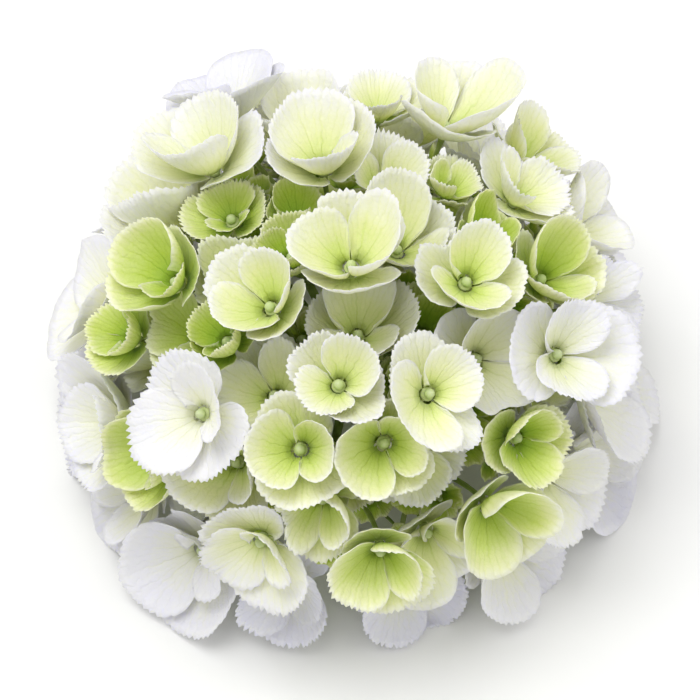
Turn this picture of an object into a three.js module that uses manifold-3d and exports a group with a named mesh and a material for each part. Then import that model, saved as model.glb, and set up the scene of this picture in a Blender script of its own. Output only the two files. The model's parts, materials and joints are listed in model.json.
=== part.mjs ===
// Bigleaf hydrangea flower: one mophead, cut just under its branches, resting on its lowest sepals.
// Millimetres, +Z up. The origin is on the surface that it rests on, under the middle of the head.
import * as THREE from "three";
import { mergeVertices } from "three/addons/utils/BufferGeometryUtils.js";
import Module from "manifold-3d";

const wasm = await Module();
wasm.setup();

// The florets' buds lie about on a flattened ball
const BALL_RADIUS = 77;
const BALL_HEIGHT = 66; // from the ball's middle to the crown
const BALL_MIDDLE = 31; // height of the ball's middle over the surface
// How far the florets lean out from upright: a share of the ball's own slope, which grows from
// the crown to the widest ring, up to a limit
const RING_LEAN = 90;
const CROWN_LEAN_OUT = 0.6;
const RING_LEAN_OUT = 1;
const MOST_LEAN_OUT = 62;

// Sepals
const BLADE = 0.7; // thickness
const SEPAL_BREADTH = 1.22; // greatest breadth for its length
const SEPAL_VARIES = 0.2; // spread of the sepals' radii and breadths, as a share
// One of the inner pair is smaller and steeper than its fellow: lengths for the outer pair's, and
// degrees added to the outer pair's slope
const LENGTHS = [1, 0.7, 1, 0.92];
const STEEPER = [0, 20, 0, 9];
// Slope of the bowl in degrees, of a cupped floret and what opening flat adds to it
const BASE_SLOPE = 26;
const BASE_OPENING = -6;
const RIM_SLOPE = 95;
const RIM_OPENING = -88;
const RIM_VARIES = 24;
// Sepals wrap round their floret a little more towards the base than they would lying flat
const WRAP_POWER = 0.7;
const MOST_WRAP = 1.5;
const OUTLINE = [
  [0.5, -1],
  [0.87, -0.66],
  [1, 0],
  [0.87, 0.66],
  [0.5, 1],
]; // rim, as shares of length and half breadth
const HEART = 0.55; // the one point inside the outline, as a share of length

// Bud and the receptacle that carries the sepals
const RECEPTACLE_RADIUS = 1.5; // to its corners
const SEPAL_STEP = 1; // the inner pair sits this much above the outer pair
const BUD_RADIUS = 1.8;
const BUD_LENGTH = 2.8;
const BUD_BELT = 0.4; // the bud is widest at this share of its length

// Stalks
const PEDICEL_RADIUS = 0.95;
const PEDICEL_SIDES = 3;
const PEDICEL_STEPS = 2;
const PEDICEL_BEND = 0.45; // share of the way from floret to fork that a pedicel keeps to the axis
const RAY_RADIUS = 1.5;
const RAY_SIDES = 5;
const PEDUNCLE_RADIUS = 3.6;
const PEDUNCLE_CUT = 3; // height of the cut end over the surface
const KNOT_HEIGHT = 24; // the knot at the peduncle's top, which the rays leave
const KNOT_RADIUS = 5.5;
const KNOT_BELT = 0.4; // half height of the knot's straight part, as a share of its radius
const RAY_START = 0.7; // the rays start this share of the knot's radius out of its middle
const PEDUNCLE_SIDES = 10;
const BRANCHLET = 5; // from a ray's end to the fork of its pedicels
const JOINT_GAP = 0.3; // between a ray and its branchlet
const CYME_DEPTH = 0.56; // the cymes fork at this share of the ball's radius

// Cymes: rings of clusters, each ring at one lean from the crown
const CYME_RINGS = [
  { lean: 0, count: 1, first: 0 },
  { lean: 44, count: 8, first: 16 },
  { lean: 90, count: 10, first: 9 },
];

// Florets in the front view. lean: degrees down from the crown; bearing: degrees round the stem,
// 0 to the right (+X) and 270 to the front (-Y); rise: mm above the ball; span: mm across the outer
// pair; turn: degrees of the outer pair from straight down the slope; open: 0 cupped, 1 flat;
// age: 0 green, 1 white; tip, toward: degrees that the axis leans over, and to which bearing.
const FRONT_FLORETS = [
  // crown
  [13, 270, 7, 34, 0, 0.5, 0.72, 8, 90],
  [12, 350, 4, 31, 30, 0.45, 0.74, 8, 70],
  [26, 274, 1, 32, 90, 0.5, 0.62, 20, 90],
  [36, 272, 6, 29, 45, 0.5, 0.6, 6, 90],
  [27, 230, 5, 31, 80, 0.5, 0.5, 14, 150],
  [28, 250, -4, 25, 40, 0.45, 0.25, 0, 0],
  [6, 95, 1, 27, 20, 0.5, 0.45, 0, 0],
  // left of the crown
  [18, 205, 0, 23, 60, 0.25, 0.25, 0, 0],
  [29, 198, 3, 27, 10, 0.35, 0.42, 0, 0],
  [12, 150, -1, 22, 35, 0.2, 0.15, 0, 0],
  [22, 168, -1, 22, 70, 0.35, 0.15, 0, 0],
  [31, 165, -1, 25, 20, 0.6, 0.2, 0, 0],
  [42, 158, -2, 22, 50, 0.3, 0.12, 0, 0],
  [38, 192, 2, 27, 0, 0.35, 0.3, 15, 180],
  [43, 205, 1, 28, 30, 0.5, 0.35, 0, 0],
  [41, 218, -2, 22, 0, 0.3, 0.15, 0, 0],
  [56, 200, 0, 27, 45, 0.45, 0.18, 0, 0],
  [53, 179, -2, 27, 20, 0.4, 0.22, 0, 0],
  [67, 186, -7, 33, 30, 0.45, 0.5, 0, 0],
  // left shoulder
  [39, 147, 4, 38, 10, 0.5, 0.85, 4, 130],
  [52, 158, 0, 40, 40, 0.35, 0.85, 0, 0],
  [57, 123, 4, 40, 20, 0.65, 1, 0, 0],
  [48, 108, 3, 32, 50, 0.45, 0.75, 0, 0],
  [22, 116, 2, 34, 90, 0.4, 0.7, 0, 0],
  // top and right shoulder
  [44, 81, -1, 28, 100, 0.6, 0.5, 0, 0],
  [17, 66, 2, 30, 30, 0.55, 0.5, 0, 0],
  [42, 57, 3, 37, 15, 0.45, 0.78, 0, 0],
  [62, 50, -3, 36, 40, 0.5, 0.88, 0, 0],
  [28, 41, 0, 27, 60, 0.45, 0.38, 0, 0],
  [56, 37, 1, 31, 10, 0.5, 0.45, 0, 0],
  [42, 20, 3, 31, 85, 0.55, 0.55, 0, 0],
  [31, 18, 0, 26, 30, 0.4, 0.35, 0, 0],
  [33, 353, 0, 25, 50, 0.25, 0.22, 0, 0],
  [46, 352, 2, 28, 20, 0.3, 0.35, 0, 0],
  [67, 76, -10, 37, 20, 0.6, 0.85, 0, 0],
  [68, 102, -8, 38, 60, 0.6, 0.9, 0, 0],
  // right side
  [27, 332, 3, 30, 15, 0.45, 0.5, 0, 0],
  [43, 319, 5, 36, 45, 0.55, 0.85, 14, 330],
  [53, 332, 7, 38, 35, 0.6, 0.88, 0, 0],
  [28, 308, -3, 24, 0, 0.25, 0.1, 0, 0],
  [42, 293, 7, 36, 25, 0.65, 0.82, 14, 0],
  [53, 308, -3, 24, 30, 0.3, 0.12, 0, 0],
  [63, 18, -4, 37, 30, 0.5, 0.9, 0, 0],
  [66, 359, -3, 38, 10, 0.6, 0.95, 0, 0],
  [84, 344, -7, 40, 40, 0.7, 1, 0, 0],
  [73, 336, -6, 38, 0, 0.5, 0.6, 0, 0],
  [65, 310, -3, 35, 60, 0.5, 0.3, 0, 0],
  [90, 321, -7, 42, 20, 0.6, 0.95, 0, 0],
  [78, 298, -3, 34, 40, 0.45, 0.4, 0, 0],
  // front
  [46, 284, 3, 29, 5, 0.4, 0.4, 12, 270],
  [56, 288, 2, 29, 85, 0.55, 0.5, 12, 285],
  [58, 272, -1, 28, 30, 0.45, 0.35, 0, 0],
  [73, 276, 3, 30, 15, 0.45, 0.42, 8, 255],
  [80, 288, -3, 31, 40, 0.55, 0.72, 6, 300],
  [104, 308, -4, 43, 30, 0.7, 1, 0, 0],
  [108, 283, -6, 35, 45, 0.7, 1, 0, 0],
  [45, 243, 4, 31, 50, 0.5, 0.58, 16, 90],
  [52, 231, 8, 40, 60, 0.8, 1, 12, 180],
  [48, 257, 4.5, 31, 20, 0.5, 0.4, 0, 0],
  [62, 241, 1, 34, 30, 0.5, 0.55, 0, 0],
  [67, 261, -1, 28, 10, 0.35, 0.45, 10, 270],
  [75, 251, 1, 38, 35, 0.75, 0.8, 10, 250],
  [104, 256, -5, 36, 20, 0.7, 1, 0, 0],
  // lower left
  [104, 233, -4, 42, 40, 0.65, 1, 0, 0],
  [94, 225, -7, 40, 20, 0.6, 0.95, 0, 0],
  [86, 203, -7, 39, 45, 0.55, 0.92, 0, 0],
  [90, 183, -8, 39, 15, 0.65, 1, 0, 0],
  [74, 216, -10, 28, 30, 0.3, 0.2, 0, 0],
];

// Florets that the front view hides, in rows at one lean
const HIDDEN_ROWS = [
  { lean: 75, from: 144, to: 171, count: 2 },
  { lean: 84, from: 28, to: 128, count: 5 },
  { lean: 107, from: -20, to: 208, count: 11 },
];
const HIDDEN_FLORET = { rise: -5, span: 44, open: 0.65, age: 0.92 };
const HIDDEN_SPREAD = { lean: 5, rise: 4, span: 5, turn: 90, open: 0.2, age: 0.16 };

// How a floret gives way to those placed before it: it sinks in or stands out, moves aside, is
// smaller, and shares a little with them where that costs less
const SUNK = [-2, 0, 2, 4, 6, 8, 10, 12, 14]; // mm
const SIZES = [1, 0.93, 0.86, 0.79, 0.72];
const ASIDE_STEP = 2.5; // mm over the ball, in each of two directions
const ASIDE_STEPS = 2;
const ASIDE_COST = 1.5; // sunk mm that are as bad as one mm aside
const SIZE_COST = 45; // sunk mm that are as bad as losing the whole size
const RAISE_COST = 3; // sunk mm that are as bad as one mm raised
const FUSE_COST = 3; // sunk mm that are as bad as one mm3 shared with its own cyme
const CUT_COST = 6; // sunk mm that are as bad as one mm3 cut away by another cyme
const CLEARANCE = 0.2; // on each side of a blade or a pedicel
const REACH_MARGIN = 2; // florets further apart than their reaches and this can't touch
const AGE_RANK = 6; // a white floret stands outside a green one that is this much further out

const COLOURS = {
  young: { color: 0xb4cc66, roughness: 0.6 },
  cream: { color: 0xdfe6b8, roughness: 0.6 },
  white: { color: 0xf2f2ee, roughness: 0.6 },
  stalk: { color: 0x8aa05a, roughness: 0.7 },
};
const FLORET_SEED = 7919;
const ROW_SEED = 31;
const WELD = 1e-4; // points this near each other are one

// A cyme's florets' mean age from which it is cream, and from which it is white
const CREAM_AGE = 0.42;
const WHITE_AGE = 0.82;

const UP = new THREE.Vector3(0, 0, 1);
const MIDDLE = new THREE.Vector3(0, 0, BALL_MIDDLE);
const radians = THREE.MathUtils.degToRad;

// Draws from 0 to 1. The first two are dropped, because those of near seeds are much alike.
function seeded(seed) {
  let state = seed;
  const next = () => {
    state = (state * 16807) % 2147483647;
    return state / 2147483647;
  };
  next();
  next();
  return next;
}

function bearingVector(bearing) {
  return new THREE.Vector3(Math.cos(radians(bearing)), Math.sin(radians(bearing)), 0);
}

// The point of the ball at a lean and a bearing, from the ball's middle
function ballPoint(lean, bearing) {
  const way = bearingVector(bearing)
    .multiplyScalar(Math.sin(radians(lean)))
    .addScaledVector(UP, Math.cos(radians(lean)));
  const across = Math.hypot(way.x, way.y) / BALL_RADIUS;
  return way.divideScalar(Math.hypot(across, way.z / BALL_HEIGHT));
}

function ballNormal(point) {
  return new THREE.Vector3(
    point.x / BALL_RADIUS ** 2,
    point.y / BALL_RADIUS ** 2,
    point.z / BALL_HEIGHT ** 2,
  ).normalize();
}

// A floret's place: where its receptacle sits, its own axes, and what its sepals vary by
function makeFloret([lean, bearing, rise, span, turn, open, age, tip, toward], index) {
  const point = ballPoint(lean, bearing);
  const outward = ballNormal(point);
  const level = bearingVector(bearing);
  const right = UP.clone().cross(level);
  const share = THREE.MathUtils.lerp(CROWN_LEAN_OUT, RING_LEAN_OUT, Math.min(1, lean / RING_LEAN) ** 2);
  const slope = Math.min(share * outward.angleTo(UP), radians(MOST_LEAN_OUT));
  const axis = UP.clone().multiplyScalar(Math.cos(slope)).addScaledVector(level, Math.sin(slope));
  axis.applyAxisAngle(UP.clone().cross(bearingVector(toward)), radians(tip));
  const slopeWay = level.clone().addScaledVector(axis, -level.dot(axis)).normalize();
  const along = slopeWay.applyAxisAngle(axis, radians(turn));
  const random = seeded((index + 1) * FLORET_SEED);
  const about = (middle, width) => middle + width * (random() - 0.5);
  const sepals = [0, 1, 2, 3].map((order) => ({
    order,
    radius: (span / 2) * about(1, SEPAL_VARIES),
    breadth: SEPAL_BREADTH * about(1, SEPAL_VARIES),
    lift: about(0, RIM_VARIES),
  }));
  for (const sepal of sepals) shapeSepal(sepal, open);
  return {
    seat: point.clone().add(MIDDLE).addScaledVector(outward, rise),
    outward,
    down: right.clone().cross(outward),
    right,
    axis,
    along,
    across: axis.clone().cross(along),
    lean,
    bearing,
    rank: rise + AGE_RANK * age,
    age,
    sepals,
  };
}

// The cross-section of the bowl at a sepal starts at baseAngle from flat and bends evenly to
// rimAngle; the sepal is as long as takes it out to its radius
function shapeSepal(sepal, open) {
  const steeper = STEEPER[sepal.order];
  const rim = RIM_SLOPE + RIM_OPENING * open + sepal.lift;
  sepal.baseAngle = radians(BASE_SLOPE + BASE_OPENING * open + steeper);
  sepal.rimAngle = radians(rim + steeper);
  const turning = sepal.rimAngle - sepal.baseAngle;
  const flatness = (Math.sin(sepal.rimAngle) - Math.sin(sepal.baseAngle)) / turning;
  sepal.length = ((sepal.radius - RECEPTACLE_RADIUS) / flatness) * LENGTHS[sepal.order];
}

function hiddenRow(row, firstIndex) {
  const random = seeded(row.lean * ROW_SEED);
  const spread = (middle, width) => middle + width * (random() - 0.5);
  return Array.from({ length: row.count }, (_, place) => {
    const bearing = row.from + ((row.to - row.from) * place) / (row.count - 1);
    const values = [
      spread(row.lean, HIDDEN_SPREAD.lean),
      bearing,
      spread(HIDDEN_FLORET.rise, HIDDEN_SPREAD.rise),
      spread(HIDDEN_FLORET.span, HIDDEN_SPREAD.span),
      spread(0, HIDDEN_SPREAD.turn),
      spread(HIDDEN_FLORET.open, HIDDEN_SPREAD.open),
      spread(HIDDEN_FLORET.age, HIDDEN_SPREAD.age),
      0,
      0,
    ];
    return makeFloret(values, firstIndex + place);
  });
}

// A point of a sepal and its upward normal, from how far along and across the sepal it is
function bowlPoint(floret, sepal, size, reach, breadthways) {
  const { order, length, baseAngle, rimAngle } = sepal;
  const run = Math.hypot(reach, breadthways);
  const bend = (rimAngle - baseAngle) / (length * size);
  const angle = baseAngle + bend * run;
  const radius = RECEPTACLE_RADIUS + (Math.sin(angle) - Math.sin(baseAngle)) / bend;
  const storey = SEPAL_STEP * (0.5 + (order % 2));
  const height = storey + (Math.cos(baseAngle) - Math.cos(angle)) / bend;
  const wrap = Math.min(MOST_WRAP, (run + RECEPTACLE_RADIUS) / radius) ** WRAP_POWER;
  const round = Math.atan2(breadthways, reach) * wrap + order * (Math.PI / 2);
  const spoke = new THREE.Vector3()
    .addScaledVector(floret.along, Math.cos(round))
    .addScaledVector(floret.across, Math.sin(round));
  const point = spoke.clone().multiplyScalar(radius).addScaledVector(floret.axis, height);
  const normal = spoke.multiplyScalar(-Math.sin(angle)).addScaledVector(floret.axis, Math.cos(angle));
  return { point, normal };
}

// Sepals, receptacle and bud as one closed surface: each sepal grows from one side of the square
// receptacle, the outer pair from its lower storey and the inner pair from its upper one
function floretHead(floret, seat, size, thickness) {
  const corners = [];
  const triangles = [];
  const add = (point) => corners.push(point) - 1;
  const ring = (radius, height) =>
    [0, 1, 2, 3].map((corner) => {
      const round = (corner - 0.5) * (Math.PI / 2);
      return add(
        seat
          .clone()
          .addScaledVector(floret.along, radius * Math.cos(round))
          .addScaledVector(floret.across, radius * Math.sin(round))
          .addScaledVector(floret.axis, height),
      );
    });
  const quad = (a, b, c, d) => triangles.push([a, b, c], [a, c, d]);

  const storeys = [0, 1, 2].map((storey) => ring(RECEPTACLE_RADIUS, storey * SEPAL_STEP));
  const belt = ring(BUD_RADIUS, 2 * SEPAL_STEP + BUD_BELT * BUD_LENGTH);
  const top = seat.clone().addScaledVector(floret.axis, 2 * SEPAL_STEP + BUD_LENGTH);
  const apex = add(top);
  quad(storeys[0][3], storeys[0][2], storeys[0][1], storeys[0][0]);
  for (let side = 0; side < 4; side++) {
    const next = (side + 1) % 4;
    quad(storeys[2][side], storeys[2][next], belt[next], belt[side]);
    triangles.push([belt[side], belt[next], apex]);
    const shut = 1 - (side % 2);
    const [low, high] = [storeys[shut], storeys[shut + 1]];
    quad(low[side], low[next], high[next], high[side]);
  }

  for (const sepal of floret.sepals) {
    const side = sepal.order;
    const next = (side + 1) % 4;
    const inner = side % 2;
    const length = sepal.length * size;
    const halfBreadth = (sepal.breadth * length) / 2;
    const upper = [];
    const lower = [];
    const pair = (reach, breadthways) => {
      const { point, normal } = bowlPoint(floret, sepal, size, reach, breadthways);
      point.add(seat);
      const lowest = BLADE / 2 + inner * SEPAL_STEP;
      if (point.z < lowest) {
        point.z = lowest;
        normal.set(0, 0, Math.sign(normal.z) || 1);
      }
      upper.push(add(point.clone().addScaledVector(normal, thickness / 2)));
      lower.push(add(point.clone().addScaledVector(normal, -thickness / 2)));
    };
    upper.push(storeys[inner + 1][side]);
    lower.push(storeys[inner][side]);
    OUTLINE.forEach(([reach, breadthways]) => pair(reach * length, breadthways * halfBreadth));
    upper.push(storeys[inner + 1][next]);
    lower.push(storeys[inner][next]);
    pair(HEART * length, 0);
    const rim = OUTLINE.length + 2;
    for (let edge = 0; edge < rim; edge++) {
      const end = (edge + 1) % rim;
      triangles.push([upper[edge], upper[end], upper[rim]], [lower[end], lower[edge], lower[rim]]);
    }
    for (let edge = 0; edge < OUTLINE.length + 1; edge++) {
      quad(lower[edge], lower[edge + 1], upper[edge + 1], upper[edge]);
    }
  }
  return new wasm.Manifold(
    new wasm.Mesh({
      numProp: 3,
      vertProperties: new Float32Array(corners.flatMap((corner) => corner.toArray())),
      triVerts: new Uint32Array(triangles.flat()),
    }),
  );
}

function solidOf(geometry) {
  geometry.deleteAttribute("normal");
  geometry.deleteAttribute("uv");
  const merged = mergeVertices(geometry, WELD);
  return new wasm.Manifold(
    new wasm.Mesh({
      numProp: 3,
      vertProperties: merged.attributes.position.array,
      triVerts: new Uint32Array(merged.index.array),
    }),
  );
}

// A stalk of even thickness along a curve, with flat ends
function stalk(curve, radius, sides, steps) {
  const section = new THREE.Shape(
    Array.from({ length: sides }, (_, side) => {
      const round = (side / sides) * 2 * Math.PI;
      return new THREE.Vector2(radius * Math.cos(round), radius * Math.sin(round));
    }),
  );
  return solidOf(new THREE.ExtrudeGeometry(section, { steps, extrudePath: curve }));
}

// The clusters: each one's way out of the ball's middle, and the point that its pedicels fork from
function makeCymes() {
  return CYME_RINGS.flatMap(({ lean, count, first }) =>
    Array.from({ length: count }, (_, place) => {
      const way = ballPoint(lean, first + (360 * place) / count);
      return { way, fork: way.clone().multiplyScalar(CYME_DEPTH).add(MIDDLE) };
    }),
  );
}

function nearestCyme(cymes, { lean, bearing }) {
  const place = ballPoint(lean, bearing);
  return cymes.reduce((best, cyme) =>
    cyme.way.distanceTo(place) < best.way.distanceTo(place) ? cyme : best,
  );
}

function pedicel(floret, seat, radius) {
  const { fork } = floret.cyme;
  const bend = seat.clone().addScaledVector(floret.axis, -PEDICEL_BEND * seat.distanceTo(fork));
  const top = seat.clone().addScaledVector(floret.axis, SEPAL_STEP / 2);
  const curve = new THREE.QuadraticBezierCurve3(fork, bend, top);
  return stalk(curve, radius, PEDICEL_SIDES, PEDICEL_STEPS);
}

function sharedVolume(one, other) {
  const shared = one.intersect(other);
  const volume = shared.volume();
  shared.delete();
  return volume;
}

// What it costs that a floret, swollen by the clearance, lies in the florets already placed; once
// it is more than most, the rest isn't counted. Sepals that meet pedicels are free of cost: the
// pedicels of other cymes notch them later.
function clash(floret, trial, placed, most) {
  let cost = 0;
  for (const other of placed) {
    if (cost >= most) break;
    if (other.seat.distanceTo(trial.seat) > other.reach + trial.reach) continue;
    const shared = sharedVolume(trial.head, other.head);
    if (other.floret.cyme === floret.cyme) cost += FUSE_COST * shared;
    else cost += CUT_COST * (shared + sharedVolume(trial.pedicel, other.pedicel));
  }
  return cost;
}

function layOut(floret, { sunk, size, down, right }, swell) {
  const seat = floret.seat
    .clone()
    .addScaledVector(floret.outward, -sunk)
    .addScaledVector(floret.down, down)
    .addScaledVector(floret.right, right);
  const reach = Math.max(...floret.sepals.map((sepal) => sepal.length)) + RECEPTACLE_RADIUS;
  return {
    floret,
    seat,
    reach: reach + REACH_MARGIN / 2,
    head: floretHead(floret, seat, size, BLADE + 2 * swell),
    pedicel: pedicel(floret, seat, PEDICEL_RADIUS + swell),
  };
}

// Every way in which a floret may give way, the cheapest first
function waysToSettle() {
  const ways = [];
  const steps = Array.from({ length: 2 * ASIDE_STEPS + 1 }, (_, step) => step - ASIDE_STEPS);
  const aside = steps.map((step) => step * ASIDE_STEP);
  for (const sunk of SUNK) {
    for (const size of SIZES) {
      for (const down of aside) {
        for (const right of aside) {
          const moved = sunk < 0 ? -RAISE_COST * sunk : sunk;
          const shifted = ASIDE_COST * Math.hypot(down, right);
          ways.push({ sunk, size, down, right, cost: moved + shifted + SIZE_COST * (1 - size) });
        }
      }
    }
  }
  return ways.sort((one, other) => one.cost - other.cost);
}

// Florets are placed from the outermost in, each in the way that costs least
function settle(florets) {
  const ways = waysToSettle();
  const placed = [];
  for (const floret of [...florets].sort((one, other) => other.rank - one.rank)) {
    let best = { total: Infinity };
    for (const way of ways) {
      if (way.cost >= best.total) break;
      const trial = layOut(floret, way, CLEARANCE);
      const total = way.cost + clash(floret, trial, placed, best.total - way.cost);
      trial.head.delete();
      trial.pedicel.delete();
      if (total < best.total) best = { ...way, total };
    }
    placed.push({ ...layOut(floret, best, 0), ...best, order: placed.length });
  }
  return placed;
}

function largestBody(solid) {
  return solid.decompose().reduce((best, body) => (body.volume() > best.volume() ? body : best));
}

// A floret's head, cut clear of the pedicels of other cymes and of their earlier heads
function notched(one, placed) {
  let solid = one.head;
  for (const other of placed) {
    if (other.floret.cyme === one.floret.cyme) continue;
    const swollen = layOut(other.floret, other, CLEARANCE);
    if (sharedVolume(solid, swollen.pedicel) > 0) solid = solid.subtract(swollen.pedicel);
    if (other.order < one.order && sharedVolume(solid, swollen.head) > 0) {
      solid = solid.subtract(swollen.head);
    }
  }
  return largestBody(solid);
}

// The branchlet that a cyme's pedicels fork from, ending a joint's gap from its ray
function branchlet(cyme, knot) {
  const way = cyme.fork.clone().sub(knot).normalize();
  const start = cyme.fork.clone().addScaledVector(way, -BRANCHLET);
  const end = cyme.fork.clone().addScaledVector(way, PEDICEL_RADIUS);
  return stalk(new THREE.LineCurve3(start, end), RAY_RADIUS, RAY_SIDES, 1);
}

function ray(cyme, knot) {
  const way = cyme.fork.clone().sub(knot).normalize();
  const start = knot.clone().addScaledVector(way, RAY_START * KNOT_RADIUS);
  const end = cyme.fork.clone().addScaledVector(way, -BRANCHLET - JOINT_GAP);
  return stalk(new THREE.LineCurve3(start, end), RAY_RADIUS, RAY_SIDES, 1);
}

function peduncle() {
  const profile = [
    [0, PEDUNCLE_CUT],
    [PEDUNCLE_RADIUS, PEDUNCLE_CUT],
    [PEDUNCLE_RADIUS, KNOT_HEIGHT - KNOT_RADIUS],
    [KNOT_RADIUS, KNOT_HEIGHT - KNOT_BELT * KNOT_RADIUS],
    [KNOT_RADIUS, KNOT_HEIGHT + KNOT_BELT * KNOT_RADIUS],
    [0, KNOT_HEIGHT + KNOT_RADIUS],
  ].map(([radius, height]) => new THREE.Vector2(radius, height));
  const lathe = new THREE.LatheGeometry(profile, PEDUNCLE_SIDES);
  lathe.rotateX(Math.PI / 2);
  return solidOf(lathe);
}

function meshOf(name, solid, colour) {
  const { vertProperties, triVerts } = solid.getMesh();
  const geometry = new THREE.BufferGeometry();
  geometry.setAttribute("position", new THREE.BufferAttribute(new Float32Array(vertProperties), 3));
  geometry.setIndex(new THREE.BufferAttribute(new Uint32Array(triVerts), 1));
  const mesh = new THREE.Mesh(geometry, new THREE.MeshStandardMaterial({ metalness: 0, ...colour }));
  mesh.name = name;
  return mesh;
}

const florets = FRONT_FLORETS.map(makeFloret);
for (const row of HIDDEN_ROWS) florets.push(...hiddenRow(row, florets.length));
const cymes = makeCymes();
for (const floret of florets) floret.cyme = nearestCyme(cymes, floret);
const placed = settle(florets);
const knot = new THREE.Vector3(0, 0, KNOT_HEIGHT);

const head = new THREE.Group();
let stem = peduncle();
cymes.forEach((cyme, number) => {
  stem = stem.add(ray(cyme, knot));
  const own = placed.filter(({ floret }) => floret.cyme === cyme);
  let solid = branchlet(cyme, knot);
  for (const one of own) solid = solid.add(one.pedicel).add(notched(one, placed));
  const age = own.reduce((sum, { floret }) => sum + floret.age, 0) / own.length;
  const colour = age < CREAM_AGE ? COLOURS.young : age < WHITE_AGE ? COLOURS.cream : COLOURS.white;
  head.add(meshOf(`cyme_${String(number + 1).padStart(2, "0")}`, solid, colour));
});
head.add(meshOf("peduncle", stem, COLOURS.stalk));

const box = new THREE.Box3().setFromObject(head);
head.position.set(-(box.min.x + box.max.x) / 2, -(box.min.y + box.max.y) / 2, 0);

export default head;
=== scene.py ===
# Bigleaf hydrangea flower: the looks of one cut mophead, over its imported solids.
# Lengths are in millimetres up to the making of a mesh, and in metres in Blender.
import json
import math

import bpy
import numpy as np
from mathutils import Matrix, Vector, kdtree
from mathutils.bvhtree import BVHTree


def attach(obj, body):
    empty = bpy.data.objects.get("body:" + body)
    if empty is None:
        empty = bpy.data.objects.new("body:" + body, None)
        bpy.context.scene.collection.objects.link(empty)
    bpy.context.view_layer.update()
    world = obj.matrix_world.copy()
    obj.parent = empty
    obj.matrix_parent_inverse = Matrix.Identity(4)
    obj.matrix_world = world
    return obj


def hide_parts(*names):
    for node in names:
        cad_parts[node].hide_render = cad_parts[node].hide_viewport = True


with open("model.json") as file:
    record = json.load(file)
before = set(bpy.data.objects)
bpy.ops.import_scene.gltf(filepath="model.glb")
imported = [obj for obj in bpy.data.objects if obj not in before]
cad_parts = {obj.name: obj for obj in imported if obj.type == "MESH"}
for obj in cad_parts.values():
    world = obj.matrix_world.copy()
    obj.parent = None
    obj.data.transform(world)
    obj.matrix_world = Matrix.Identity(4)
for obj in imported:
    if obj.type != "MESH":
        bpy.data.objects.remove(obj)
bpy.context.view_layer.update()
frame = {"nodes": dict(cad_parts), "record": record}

MM = 0.001
UP = np.array([0.0, 0.0, 1.0])

# The ball that the florets' buds lie about on, and how far the florets lean out from upright
BALL_RADIUS = 77
BALL_HEIGHT = 66
BALL_RADII = np.array([BALL_RADIUS, BALL_RADIUS, BALL_HEIGHT])
BALL_MIDDLE = 31
RING_LEAN = 90
CROWN_LEAN_OUT = 0.6
RING_LEAN_OUT = 1
MOST_LEAN_OUT = 62

# Sepals of the solids
BLADE = 0.7
SEPAL_BREADTH = 1.22
SEPAL_VARIES = 0.2
LENGTHS = [1, 0.7, 1, 0.92]  # of the four sepals, for the outer pair's
STEEPER = [0, 20, 0, 9]  # degrees added to their slope
BASE_SLOPE = 26
BASE_OPENING = -6
RIM_SLOPE = 95
RIM_OPENING = -88
RIM_VARIES = 24
WRAP_POWER = 0.7
MOST_WRAP = 1.5
OUTLINE = [(0.5, -1), (0.87, -0.66), (1, 0), (0.87, 0.66), (0.5, 1)]

# Bud, receptacle and stalks of the solids
RECEPTACLE_RADIUS = 1.5
SEPAL_STEP = 1  # from one storey of the receptacle to the next
BUD_LENGTH = 2.8
PEDICEL_BEND = 0.45  # where a pedicel bends, as a share of the way from its floret to its fork
PEDUNCLE_CUT = 3
CUT_TOLERANCE = 0.01
KNOT_HEIGHT = 24
BRANCHLET = 5
CYME_DEPTH = 0.56
CYME_RINGS = [(0, 1, 0), (44, 8, 16), (90, 10, 9)]  # lean, count, bearing of the first

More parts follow.
